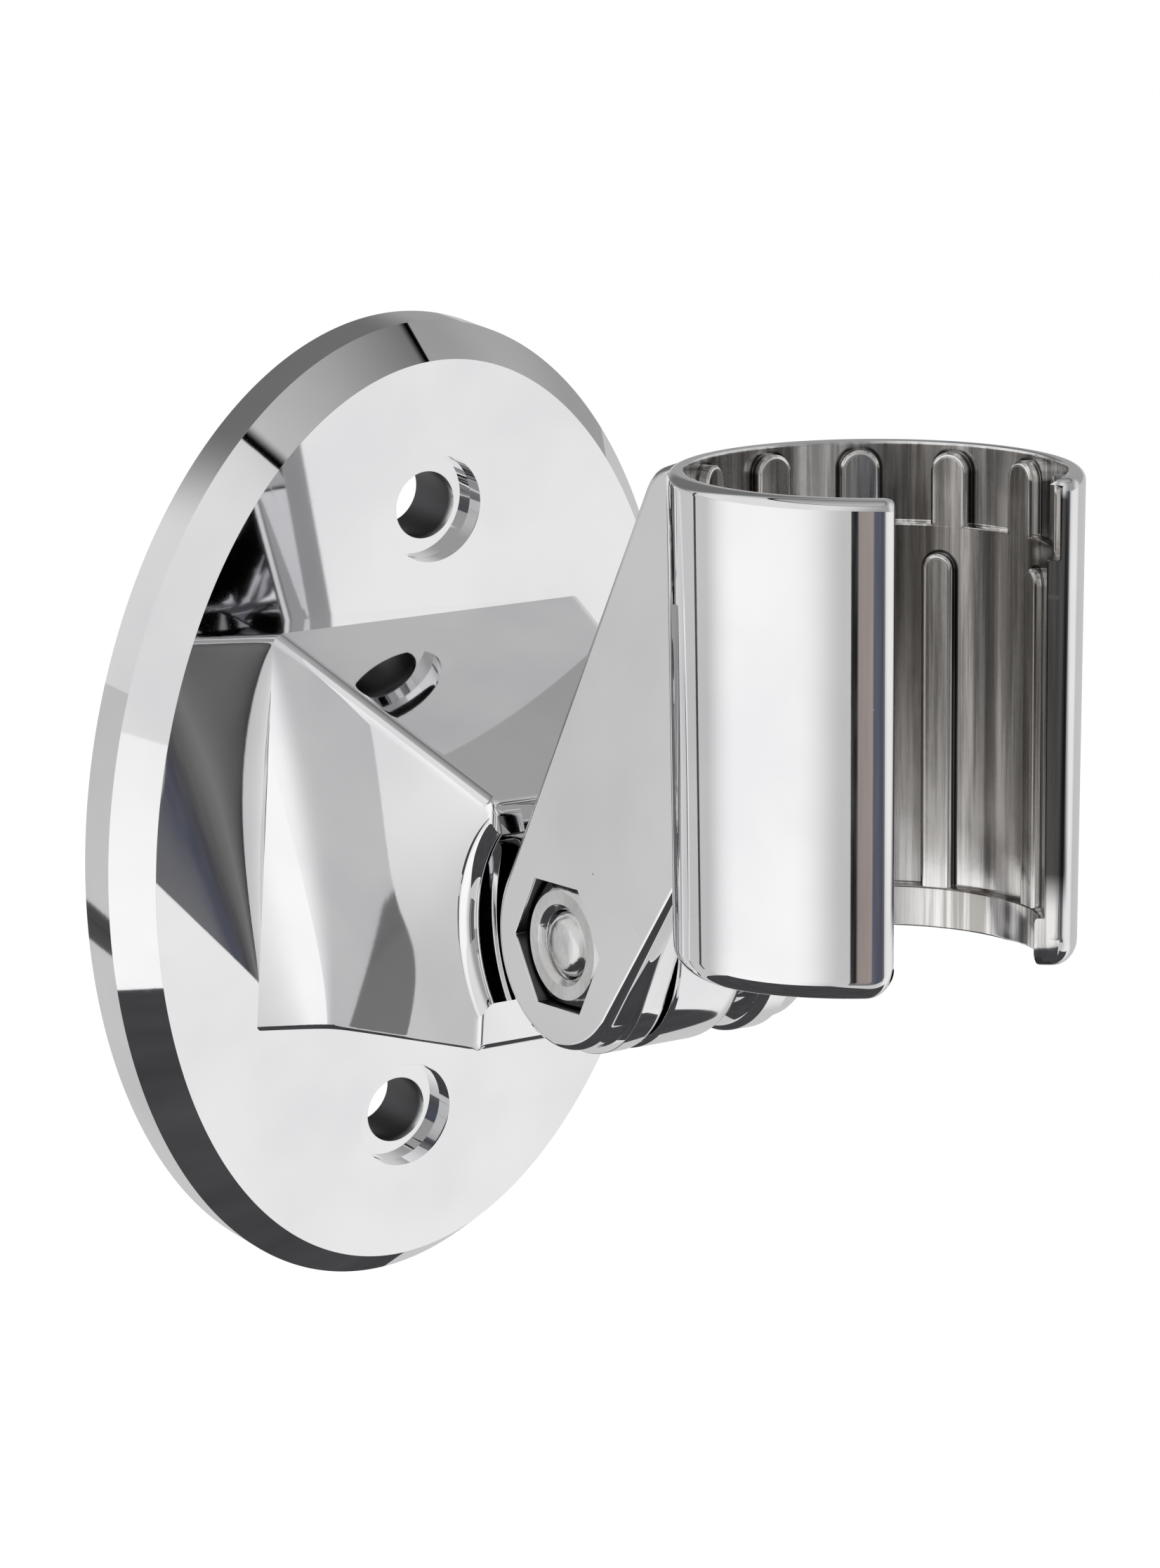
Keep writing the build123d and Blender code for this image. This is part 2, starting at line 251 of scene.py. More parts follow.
block = {
    "rootOut": 7.5, "tipOut": 35.2, "rootHalf": 16.2, "tipHalf": 11.8,
    "rootTop": 18.5, "rootBottom": 17.6, "tipTop": 10.5, "tipBottom": 11.4,
    "cornerRise": 4.6, "cornerWeight": 7.0, "ridgeRound": 1.0, "frontRound": 0.8,
    "sideRound": 0.4, "lowRound": 0.5, "wall": 2.6, "hollowDepth": 27.0,
    "cuts": 71, "hollowCuts": 23,
}
pivot = {"out": 43.3, "up": 0.2, "pocketRadius": 11.0, "pocketRim": 1.3}


def wingPoint(size, side, along, drop, shrink):
    # side of the block: a straight ridge above and a sharp inner corner below, blended between them
    root, tip = size["rootOut"], size["tipOut"]
    rise = (size["rootTop"] - size["tipTop"]) / (tip - root)
    fall = (size["rootBottom"] - size["tipBottom"]) / (tip - root)
    corner = root + size["cornerRise"]
    rootX, tipX = size["rootHalf"] - shrink, size["tipHalf"] - shrink
    ridge = Vector((rootX + (tipX - rootX) * along, root + (tip - root) * along,
                    size["rootTop"] - rise * (tip - root) * along - shrink))
    weights = ((1 - along) ** 2, 2 * along * (1 - along) * size["cornerWeight"], along ** 2)
    places = (Vector((rootX, root, -size["rootBottom"] + shrink)),
              Vector((tipX, corner, -size["rootBottom"] + fall * size["cornerRise"] + shrink)),
              Vector((tipX, tip, -size["tipBottom"] + shrink)))
    low = places[0] * weights[0] + places[1] * weights[1] + places[2] * weights[2]
    total = (1 - drop) + drop * sum(weights)
    spot = (ridge * (1 - drop) + low * drop) / total
    return Vector((side * spot.x, -spot.y, spot.z))


def easeCorner(first, second, radius):
    # two distances from a corner's faces become a point on its rounding
    if first >= radius or second >= radius:
        return first, second
    turn = math.pi / 4 * (1 + (second - first) / radius)
    return radius * (1 - math.sin(turn)), radius * (1 - math.cos(turn))


def easeEdges(size, spot, wall, along, upper, side):
    # rounds the ridge or the low edge, then the front's edges over them
    edge, up = wingPoint(size, side, along, 0 if upper else 1, 0).z, -1 if upper else 1
    front = -size["tipOut"]
    inX, inZ = easeCorner(abs(spot.x - wall), abs(spot.z - edge), size["ridgeRound" if upper else "lowRound"])
    spot.x, spot.z = wall - side * inX, edge + up * inZ
    inY, inZ = easeCorner(abs(spot.y - front), abs(spot.z - edge), size["frontRound"])
    spot.y, spot.z = front + inY, edge + up * inZ
    inY, inX = easeCorner(abs(spot.y - front), abs(spot.x - wall), size["sideRound"])
    spot.y, spot.x = front + inY, wall - side * inX


def addBlockBody(name, size, shrink, cuts):
    bpy.ops.object.select_all(action="DESELECT")
    bpy.ops.mesh.primitive_cube_add(size=1, location=(0.5, 0.5, 0.5))
    body = bpy.context.object
    body.name = name
    bpy.ops.object.transform_apply(location=True, rotation=True, scale=True)
    openEdit(body)
    bpy.ops.mesh.select_all(action="SELECT")
    bpy.ops.mesh.subdivide(number_cuts=cuts)
    closeEdit()
    for vert in body.data.vertices:
        # rows stand closer towards the edges
        across, along, level = (0.5 - 0.5 * math.cos(math.pi * share) for share in vert.co)
        left = wingPoint(size, -1, along, 1 - level, shrink)
        right = wingPoint(size, 1, along, 1 - level, shrink)
        spot = left * (1 - across) + right * across
        if not shrink:
            side = 1 if across > 0.5 else -1
            easeEdges(size, spot, right.x if side > 0 else left.x, along, level > 0.5, side)
        vert.co = spot * mm
    openEdit(body)
    faceOut()
    closeEdit()
    return body


def addPocket(side, inner):
    # the round seat in the neck that one arm's end turns in, wider at its rim
    bpy.ops.object.select_all(action="DESELECT")
    bpy.ops.mesh.primitive_circle_add(vertices=256, radius=pivot["pocketRadius"] * mm, fill_type="NGON",
                                      location=onPivot(side * inner), rotation=(0, math.pi / 2, 0))
    seat = bpy.context.object
    seat.name = "armPocket"
    bpy.ops.object.transform_apply(location=True, rotation=True, scale=True)
    flat = block["tipHalf"] - pivot["pocketRim"]
    openEdit(seat)
    bpy.ops.mesh.select_all(action="SELECT")
    push(x=side * (flat - inner))
    reach, depth, rim = pivot["pocketRadius"], 0, pivot["pocketRim"]
    for step in range(1, 11):      # a quarter round in ten steps
        turn = math.radians(9 * step)
        wider, nearer = pivot["pocketRadius"] + rim * (1 - math.cos(turn)), rim * math.sin(turn)
        push(x=side * (nearer - depth))
        bpy.ops.transform.resize(value=(1, wider / reach, wider / reach), center_override=onPivot())
        reach, depth = wider, nearer
    push(x=side * 2)
    faceOut()
    closeEdit()
    return seat


def buildBlock(size):
    body = addBlockBody("wingedBlock", size, 0, size["cuts"])
    inside = addBlockBody("blockHollow", size, size["wall"], size["hollowCuts"])
    for vert in inside.data.vertices:
        vert.co.y = max(vert.co.y, -size["hollowDepth"] * mm)
        if vert.co.y > -(size["rootOut"] + 0.05) * mm:
            vert.co.y = -(size["rootOut"] - 1) * mm
    cutWith(body, inside)
    for side, inner in ((-1, knuckle["nutSide"]), (1, knuckle["headSide"])):
        cutWith(body, addPocket(side, inner))
    polish(body)
    print("block ready", len(body.data.polygons))
    return body


# round end that the fork turns on

knuckle = {"radius": 9.4, "nutSide": 4.6, "headSide": 3.9, "nutRound": 0.4, "headRound": 3.0,
           "bore": 3.05, "rooted": 4.0}


def buildKnuckle(size):
    y, z, r = -pivot["out"], pivot["up"], size["radius"]
    back = size["rooted"] - block["tipOut"]      # ends inside the block
    points = arcPoints(y, z, r, 90, 270, 128) + [(back, z - r), (back, z + r)]
    body = addOutline("knuckle", points, -size["nutSide"], size["nutSide"] + size["headSide"])
    openEdit(body)
    for side, width, segments in ((size["headSide"], size["headRound"], 16),
                                  (-size["nutSide"], size["nutRound"], 5)):
        pick("EDGE", lambda e: abs(middle(e).x - side) < 0.01 and middle(e).y < back - 0.01)
        bpy.ops.mesh.bevel(offset=width * mm, segments=segments, profile=0.5)
    closeEdit()
    cutWith(body, addRod("boltWay", size["bore"], -8, 8, 96))
    polish(body)
    print("knuckle ready", len(body.data.polygons))
    return body


# open cradle with its ledges, arches and ribs

cradle = {
    "axisOut": 72.9, "lean": 6.2, "radius": 16.44, "lowRadius": 16.05, "top": 45.9, "bottom": 6.1,
    "bottomSlope": 2.7, "slopeHeight": 6.0, "upperBore": 15.0, "bore": 13.95, "seat": 13.1,
    "upperLedge": 39.3, "lowerLedge": 9.55, "rimRound": 0.9, "bottomRound": 1.8,
    "boreRound": 0.3, "ledgeRound": 0.2, "footRound": 0.25,
    "gapHalf": 32.5, "lipRound": 1.0, "lipInner": 0.3, "lipTop": 0.6, "lipCorner": 2.3,
    "lipTurn": 10.0, "lipSteps": 20, "wallSteps": 190, "crowding": 1.8,
    "stripInset": 0.22, "stripStep": 0.2, "stripRound": 0.1,
}
arch = {"width": 3.2, "top": 45.2, "foot": 38.9, "front": 13.95, "back": 15.5,
        "turns": [57, 87, 117, 147, 177, 207, 237, 267, 297]}
rib = {"width": 2.6, "top": 37.0, "foot": 9.15, "front": 13.2, "back": 14.45,
       "turns": [75, 120, 165, 210, 255, 300]}


def lean(piece):
    # from the cradle's own upright frame to its place on the arms
    activate(piece)
    turn = Matrix.Rotation(-math.radians(cradle["lean"]), 4, "X")
    piece.matrix_world = Matrix.Translation((0, -cradle["axisOut"] * mm, 0)) @ turn @ piece.matrix_world
    bpy.ops.object.transform_apply(location=True, rotation=True, scale=True)


def arcOf(middleX, middleY, radius, angles):
    return [(middleX + radius * math.cos(math.radians(a)), middleY + radius * math.sin(math.radians(a)))
            for a in angles]


def shellProfile(size):
    # wall section in radius and height, from the seat's foot round the outside and down the bores
    lowOuter, outer, low, top = size["lowRadius"], size["radius"], size["bottom"], size["top"]
    foot, rim = size["bottomRound"], size["rimRound"]
    inner, seat = size["upperBore"], size["seat"]
    r, e, f = size["boreRound"], size["ledgeRound"], size["footRound"]
    points = [(seat + f, low), (lowOuter - foot, low)]
    points += arcOf(lowOuter - foot, low + foot, foot, range(-81, 0, 9))
    points += [(lowOuter + (outer - lowOuter) * s, low + foot + (top - rim - low - foot) * s)
               for s in (0, 0.25, 0.5, 0.75, 1)]
    points += arcOf(outer - rim, top - rim, rim, range(9, 91, 9))
    points += [(inner + r, top), (inner + 0.3 * r, top - 0.3 * r), (inner, top - r)]
    for wide, narrow, height in ((inner, size["bore"], size["upperLedge"]),
                                 (size["bore"], seat, size["lowerLedge"])):
        points += [(wide, height + e), (wide - 0.3 * e, height + 0.3 * e), (wide - e, height),
                   (narrow + e, height), (narrow + 0.3 * e, height - 0.3 * e), (narrow, height - e)]
    points += [(seat, low + f), (seat + 0.28 * f, low + 0.28 * f)]
    return points


def quarterRound(radius, reach):
    # how far a rounding lies back at a distance from the edge that it starts from
    left = max(0.0, radius - reach)
    return radius - math.sqrt(max(0.0, radius ** 2 - left ** 2))


def easeShell(size, spot):
    # crowds the rings towards the lip, rounds the lip and slopes the foot
    x, y, z = spot
    half, end = math.radians(size["gapHalf"]), math.radians(size["lipTurn"])
    around, radius = max(0.0, math.atan2(abs(x), -y) - half), math.hypot(x, y)
    if around < end:
        around = end * (around / end) ** size["crowding"]
    reach = around * size["lowRadius"]
    eased = quarterRound(size["lipRound"], reach)
    radius += -eased if radius > (size["bore"] + size["radius"]) / 2 else eased * size["lipInner"]
    side = 1 if x > 0 else -1
    x, y = side * radius * math.sin(around + half), -radius * math.cos(around + half)
    share = min(1.0, max(0.0, 1 - (z - size["bottom"]) / size["slopeHeight"]))
    rise = max(0.0, -y) * math.tan(math.radians(size["bottomSlope"]))
    z += (rise + quarterRound(size["lipCorner"], reach)) * share
    share = max(0.0, (z - size["top"] + 2) / 2)      # over the last 2 mm below the rim
    return Vector((x, y, z - eased * size["lipTop"] * share))


def buildShell(size):
    points = shellProfile(size)
    bpy.ops.object.select_all(action="DESELECT")
    bpy.ops.mesh.primitive_circle_add(vertices=len(points), radius=1 * mm, fill_type="NOTHING")
    body = bpy.context.object
    body.name = "cradleShell"
    turn = Matrix.Rotation(math.radians(size["gapHalf"]), 4, "Z")
    for vert, (radius, height) in zip(body.data.vertices, points):
        vert.co = turn @ Vector((0, -radius * mm, height * mm))
    openEdit(body)
    bpy.ops.mesh.select_all(action="SELECT")
    lip, steps = size["lipTurn"], size["lipSteps"]
    wall = 360 - 2 * size["gapHalf"] - 2 * lip
    for angle, count in ((lip, steps), (wall, size["wallSteps"]), (lip, steps)):
        bpy.ops.mesh.spin(steps=count, angle=-math.radians(angle), center=(0, 0, 0), axis=(0, 0, 1))
    bpy.ops.mesh.select_all(action="SELECT")
    bpy.ops.mesh.remove_doubles(threshold=0.000001)
    closeEdit()
    for vert in body.data.vertices:
        vert.co = easeShell(size, vert.co / mm) * mm
    return body


def closeLips(body):
    openEdit(body)
    for side in (-1, 1):
        pick("EDGE", lambda e: e.is_boundary and side * e.verts[0].co.x > 0)
        bpy.ops.mesh.edge_face_add()
    faceOut()
    closeEdit()


def addPilaster(name, size):
    # upright strip with a round top, its front lying on the bore's circle
    half, front, back, top = size["width"] / 2, size["front"], size["back"], size["top"]
    points = [(-half, size["foot"]), (half, size["foot"])]
    points += arcOf(0, top - half, half, [7.5 * i for i in range(25)])
    bpy.ops.object.select_all(action="DESELECT")
    bpy.ops.mesh.primitive_circle_add(vertices=len(points), radius=1 * mm, fill_type="NGON")
    piece = bpy.context.object
    piece.name = name
    for vert, (x, z) in zip(piece.data.vertices, points):
        vert.co = (x * mm, -back * mm, z * mm)
    openEdit(piece)
    bpy.ops.mesh.select_all(action="SELECT")
    push(y=back - front)
    bpy.ops.mesh.inset(thickness=cradle["stripInset"] * mm, depth=0.0)
    closeEdit()
    # the front's outer edge is set back a little
    atFront = [f for f in piece.data.polygons if all(
        abs(piece.data.vertices[i].co.y + front * mm) < 1e-7 for i in f.vertices)]
    outer = set(i for f in atFront if len(f.vertices) == 4 for i in f.vertices)
    inner = set(i for f in piece.data.polygons if len(f.vertices) > 8 for i in f.vertices)
    for i in outer - inner:
        piece.data.vertices[i].co.y -= cradle["stripStep"] * mm
    openEdit(piece)
    pick("EDGE", lambda e: all(v.co.y > -(front + 0.01) * mm for v in e.verts) and len(e.link_faces) == 2)
    bpy.ops.mesh.bevel(offset=cradle["stripRound"] * mm, segments=2, profile=0.5)
    for place in (-0.6, -0.3, 0, 0.3, 0.6):      # cuts that let the front bend
        bpy.ops.mesh.select_all(action="SELECT")
        bpy.ops.mesh.bisect(plane_co=(place * half * mm, 0, 0), plane_no=(1, 0, 0))
    closeEdit()
    for vert in piece.data.vertices:
        if vert.co.y > -(front + 0.3) * mm:
            bend = front - math.sqrt(front ** 2 - (vert.co.x / mm) ** 2)
            vert.co.y += bend * mm
    openEdit(piece)
    faceOut()
    closeEdit()
    polish(piece, 40)
    return piece


def copyTurned(piece, name, turn):
    copy = piece.copy()
    copy.data = piece.data.copy()
    copy.name = name
    bpy.context.collection.objects.link(copy)
    copy.data.transform(Matrix.Rotation(math.radians(turn), 4, "Z"))
    return copy


def buildCradle(size):
    body = buildShell(size)
    closeLips(body)
    lean(body)
    polish(body)
    print("cradle shell ready", len(body.data.polygons))
    strips = []
    for kind, strip in (("arch", arch), ("rib", rib)):
        model = addPilaster(kind, strip)
        for turn in strip["turns"]:
            strips.append(copyTurned(model, kind + str(turn), turn))
            lean(strips[-1])
        bpy.data.objects.remove(model)
    print("arches and ribs ready", len(strips))
    return body, strips


# the fork's two arms

arm = {
    "outer": 10.3, "thin": 2.9, "thick": 5.2, "end": 8.8, "topLean": 23.5, "lowLean": 32.9,
    "topLength": 42.6, "lowLength": 18.0, "stepOut": 3.0, "stepUp": 1.3, "topReach": 1.6,
    "boss": 9.4, "bossTip": 7.6, "tipOut": 7.5, "tipUp": 15.0, "edgeRound": 0.75, "bossRound": 0.7,
    "bore": 3.05, "wallRadius": 15.75, "seam": 0.12,
}


def armOutline(size):
    # round end on the pivot, straight edge up to the eased top corner, and down inside the cradle's wall
    top, low, r = math.radians(size["topLean"]), math.radians(size["lowLean"]), size["end"]
    y0, z0 = -pivot["out"], pivot["up"]
    end = Vector((r * math.cos(top) - math.sin(top) * size["topLength"],
                  r * math.sin(top) + math.cos(top) * size["topLength"]))
    foot = Vector((-r * math.cos(low) - math.sin(low) * size["lowLength"],
                   -r * math.sin(low) + math.cos(low) * size["lowLength"]))
    points = arcPoints(y0, z0, r, 180 + size["lowLean"], 360 + size["topLean"], 96)
    corner = end + Vector((-size["stepOut"], size["stepUp"]))
    start = end + Vector((math.sin(top), -math.cos(top))) * size["topReach"]
    finish = end + (corner - end).normalized() * size["topReach"]
    spots = [start * (1 - s) ** 2 + end * 2 * s * (1 - s) + finish * s ** 2
             for s in (i / 8 for i in range(9))]
    # the two points with an offset lie inside the cradle's wall
    spots += [corner, corner + Vector((-6, 0)), foot + Vector((-4, 4)), foot]
    return points + [(y0 + spot.x, z0 + spot.y) for spot in spots]


def bossOutline(size):
    y0, z0 = -pivot["out"], pivot["up"]
    y1, z1 = y0 - size["tipOut"], z0 + size["tipUp"]
    along = math.atan2(z1 - z0, y1 - y0)
    gap = math.hypot(y1 - y0, z1 - z0)
    spread = math.acos((size["boss"] - size["bossTip"]) / gap)
    start, end = math.degrees(along + spread), math.degrees(along + 2 * math.pi - spread)
    points = arcPoints(y0, z0, size["boss"], start, end, 96)
    points += arcPoints(y1, z1, size["bossTip"], end - 360, start, 48)
    return points


def tuckIntoWall(piece):
    # what would reach the bore is drawn back into the cradle's wall
    turn = Matrix.Rotation(math.radians(cradle["lean"]), 4, "X")
    home = Vector((0, -cradle["axisOut"] * mm, 0))
    for vert in piece.data.vertices:
        own = turn @ (vert.co - home)
        limit = arm["wallRadius"] * mm
        if math.hypot(own.x, own.y) < limit:
            own.y = math.sqrt(limit ** 2 - own.x ** 2)
            own.z = min(own.z, (cradle["top"] - 0.5) * mm)
            vert.co = turn.transposed() @ own + home


def easeFace(piece, test, width):
    tuckIntoWall(piece)
    openEdit(piece)
    pick("EDGE", lambda e: all(test(abs(v.co.x) / mm) for v in e.verts))
    bpy.ops.mesh.bevel(offset=width * mm, segments=6, profile=0.5)
    closeEdit()


def buildArm(side, size):
    sign = "left" if side < 0 else "right"
    outer, thin, thick = size["outer"], size["thin"], size["thick"]
    body = addOutline(sign + "Arm", armOutline(size), side * (outer - thin), side * thin)
    easeFace(body, lambda x: x > outer - 0.01, size["edgeRound"])
    boss = addOutline(sign + "Boss", bossOutline(size), side * (outer - thick), side * (thick - thin + 0.3))
    easeFace(boss, lambda x: x < outer - thick + 0.01, size["bossRound"])
    fuseWith(body, boss)
    return body


def addHexagon(name, apothem, fromX, toX):
    corner = apothem / math.cos(math.pi / 6)
    points = [(-pivot["out"] + corner * math.cos(math.radians(nut["turn"] + 60 * i)),
               pivot["up"] + corner * math.sin(math.radians(nut["turn"] + 60 * i))) for i in range(6)]
    return addOutline(name, points, fromX, toX - fromX)


def buildFork(size):
    left = buildArm(-1, size)
    right = buildArm(1, size)
    out = size["outer"]
    nutFloor, headFloor = nut["sink"] + nut["height"] - out, out - bolt["headSink"] - bolt["headHeight"]
    cutWith(left, addHexagon("nutSeat", nut["flats"] / 2 + nut["play"], -out - 2, nutFloor))
    cutWith(right, addRod("headSeat", bolt["head"] / 2 + bolt["play"], headFloor, out + 2))
    for body in (left, right):
        cutWith(body, addRod("boltWay", size["bore"], -20, 20, 96))
        roundEdges(body, size["seam"], 3)
        polish(body)
    print("fork ready", len(left.data.polygons), len(right.data.polygons))
    return left, right


# nut, bolt and washers

nut = {"flats": 10.0, "height": 3.2, "sink": 0.5, "play": 0.25, "turn": 53.3, "face": 4.6, "chamfer": 0.8,
       "hole": 2.95, "threadDepth": 0.4, "threadStep": 0.9, "edgeRound": 0.07}
bolt = {"shank": 2.9, "head": 10.0, "headHeight": 3.0, "headSink": 0.2, "play": 0.5, "headFlat": 2.6,
        "domeFrom": 1.6, "domeHeight": 1.4, "domeReach": 2.2, "threadStep": 0.75, "endBack": 0.45,
        "crossLength": 5.2, "crossWidth": 1.3, "crossDepth": 1.8, "edgeRound": 0.06}
washer = {"diameter": 12.4, "hole": 6.1, "clearance": 0.05, "forkHalf": 5.1, "edgeRound": 0.1}


def addTurned(name, stations, sides=128):
    # rings of a radius at a place along X, drawn out one after the other from the first
    bpy.ops.object.select_all(action="DESELECT")
    bpy.ops.mesh.primitive_circle_add(vertices=sides, radius=stations[0][1] * mm, fill_type="NGON",
                                      location=onPivot(stations[0][0]), rotation=(0, math.pi / 2, 0))
    piece = bpy.context.object
    piece.name = name
    bpy.ops.object.transform_apply(location=True, rotation=True, scale=True)
    openEdit(piece)
    bpy.ops.mesh.select_all(action="SELECT")
    for before, after in zip(stations, stations[1:]):
        push(x=after[0] - before[0])
        grow = after[1] / before[1]
        bpy.ops.transform.resize(value=(1, grow, grow), center_override=onPivot())
    faceOut()
    closeEdit()
    return piece


def buildNut(size):
    face = -arm["outer"] + size["sink"]
    back = face + size["height"]
    half, corner = size["flats"] / 2, size["flats"] / 2 / math.cos(math.pi / 6)
    body = addHexagon("hexNut", half, face, back)
    crown = addTurned("nutCrown", [(face - 0.0001, size["face"]), (face + size["chamfer"], corner + 0.05),
                                   (back + 1, corner + 0.05)])
    modify(body, "BOOLEAN", operation="INTERSECT", solver="EXACT", object=crown)
    bpy.data.objects.remove(crown)
    hole, wide = size["hole"], size["hole"] + size["threadDepth"]
    stations = [(face - 0.5, hole + 0.95), (face, hole + 0.5), (face + 0.45, hole)]
    for i in range(3):
        start = face + 0.45 + i * size["threadStep"]
        stations += [(start + 0.2, hole), (start + 0.5, wide), (start + 0.8, hole)]
    stations.append((back + 0.5, hole))
    cutWith(body, addTurned("threadedHole", stations))
    roundEdges(body, size["edgeRound"], 3)
    polish(body)
    print("nut ready", len(body.data.polygons))
    return body


def buildBolt(size):
    end = -arm["outer"] + size["endBack"]
    top = arm["outer"] - size["headSink"]
    seat = top - size["headHeight"]
    r, rim = size["shank"], size["head"] / 2
    # domed end, thread, shank and rounded head
    stations = [(end + along, r * share) for along, share in (
        (0, 0.3), (0.03, 0.52), (0.1, 0.68), (0.25, 0.78), (0.55, 0.86))]
    for i in range(5):
        start = end + 0.6 + i * size["threadStep"]
        stations += [(start, r * 0.88), (start + 0.3, r), (start + 0.42, r), (start + 0.7, r * 0.88)]
    stations += [(end + 4.8, r), (seat, r), (seat + 0.05, rim - 0.15), (seat + 0.2, rim)]
    for step in range(1, 10):
        turn = math.radians(step * 9)
        stations.append((seat + size["domeFrom"] + size["domeHeight"] * math.sin(turn),
                         rim - size["domeReach"] * (1 - math.cos(turn))))
    stations.append((top, size["headFlat"]))
    body = addTurned("pivotBolt", stations)
    long, wide = size["crossLength"], size["crossWidth"]
    for scale in ((1, long, wide), (1, wide, long)):
        bpy.ops.object.select_all(action="DESELECT")
        bpy.ops.mesh.primitive_cube_add(size=1 * mm, location=onPivot(top + 0.5))
        slot = bpy.context.object
        slot.scale = scale
        bpy.ops.object.transform_apply(location=True, rotation=True, scale=True)
        openEdit(slot)
        pick("FACE", lambda f: f.calc_center_median().x < (top + 0.1) * mm)
        push(x=-size["crossDepth"])
        bpy.ops.transform.resize(value=(1, 0.55, 0.55), center_override=onPivot())      # tapers inwards
        faceOut()
        closeEdit()
        cutWith(body, slot)
    roundEdges(body, size["edgeRound"], 2, 40)
    polish(body)
    print("bolt ready", len(body.data.polygons))
    return body


def buildWashers(size):
    made = []
    gap = size["clearance"]
    for name, fromX, toX in (("thinWasher", -size["forkHalf"] + gap, -knuckle["nutSide"] - gap),
                             ("thickWasher", knuckle["headSide"] + gap, size["forkHalf"] - gap)):
        ring = addRod(name, size["diameter"] / 2, fromX, toX)
        cutWith(ring, addRod("washerHole", size["hole"] / 2, fromX - 1, toX + 1, 96))
        roundEdges(ring, size["edgeRound"], 3)
        polish(ring)
        made.append(ring)
    print("washers ready")
    return made


# shaders

class Wire:
    # a socket that adds the Math node it needs when it stands in an expression
    def __init__(self, sheet, socket):
        self.sheet = sheet
        self.socket = socket

    def work(self, operation, first, second):
        return self.sheet.maths(operation, first, second)

    def __add__(self, other):
        return self.work("ADD", self, other)

    def __radd__(self, other):
        return self.work("ADD", other, self)

    def __sub__(self, other):
        return self.work("SUBTRACT", self, other)

    def __rsub__(self, other):
        return self.work("SUBTRACT", other, self)

    def __mul__(self, other):
        return self.work("MULTIPLY", self, other)

    def __rmul__(self, other):
        return self.work("MULTIPLY", other, self)

    def __truediv__(self, other):
        return self.work("DIVIDE", self, other)

    def __rtruediv__(self, other):
        return self.work("DIVIDE", other, self)

    def __gt__(self, other):
        return self.work("GREATER_THAN", self, other)

    def __lt__(self, other):
        return self.work("LESS_THAN", self, other)

    def __pow__(self, other):
        return self.work("POWER", self, other)

    def __rpow__(self, other):
        return self.work("POWER", other, self)


class Sheet:
    # the node sheet of one material or of the world
    def __init__(self, owner):
        owner.use_nodes = True
        self.tree = owner.node_tree
        self.tree.nodes.clear()

    def add(self, kind, settings=None, sockets=None, out=0):
        node = self.tree.nodes.new(kind)
        for name, value in (settings or {}).items():
            if name == "stops":
                while len(node.color_ramp.elements) < len(value):
                    node.color_ramp.elements.new(0.5)
                for stop, (place, colour) in zip(node.color_ramp.elements, value):
                    stop.position = place
                    stop.color = colour
            else:
                setattr(node, name, value)
        for name, value in (sockets or {}).items():
            if isinstance(value, Wire):
                self.tree.links.new(value.socket, node.inputs[name])
            else:
                node.inputs[name].default_value = value
        if isinstance(out, tuple):
            return [Wire(self, node.outputs[name]) for name in out]
        return Wire(self, node.outputs[out]) if node.outputs else None

    def maths(self, operation, *values):
        return self.add("ShaderNodeMath", {"operation": operation}, dict(enumerate(values)))

    def noise(self, place, scale, detail=2.0, roughness=0.5):
        return self.add("ShaderNodeTexNoise", {}, {
            "Vector": place, "Scale": scale, "Detail": detail, "Roughness": roughness})

    def ease(self, value, low, high):
        return self.add("ShaderNodeMapRange", {"interpolation_type": "SMOOTHSTEP"},
                        {0: value, 1: low, 2: high, 3: 0.0, 4: 1.0})

    def below(self, value, low, high):
        # 1 up to low and 0 from high, in millimetres
        return 1 - self.ease(value, low * mm, high * mm)

    def above(self, value, low, high):
        return self.ease(value, low * mm, high * mm)

    def band(self, value, rise, fall):
        return self.above(value, *rise) * self.below(value, *fall)

    def blend(self, share, first, second):
        return self.add("ShaderNodeMix", {"data_type": "RGBA"}, {0: share, 6: first, 7: second}, out=2)

    def finish(self, shader, kind="ShaderNodeOutputMaterial"):
        self.add(kind, {}, {0: shader})

    def coat(self, colour, roughness, height, metallic=1.0, strength=0.35, distance=0.12):
        bump = self.add("ShaderNodeBump", {}, {
            "Strength": strength, "Distance": distance * mm, "Height": height})
        self.finish(self.add("ShaderNodeBsdfPrincipled", {}, {
            "Base Color": colour, "Metallic": metallic, "Roughness": roughness, "Normal": bump}))


def newPaint(name):
    paint = bpy.data.materials.new(name)
    sheet = Sheet(paint)
    return paint, sheet, sheet.add("ShaderNodeTexCoord", out=3)


mirror = {"bright": (0.93, 0.93, 0.935, 1), "cool": (0.86, 0.86, 0.875, 1), "pit": (0.16, 0.15, 0.15, 1),
          "roughness": 0.025, "peel": 0.012, "pitCells": 210, "pitShare": 0.28}
# painted shade for the screw holes and the recesses, which are rougher as well
holeShade = {"colour": (0.10, 0.10, 0.105, 1), "roughness": 0.35, "nutReach": 6.15, "nutDepth": 0.2}
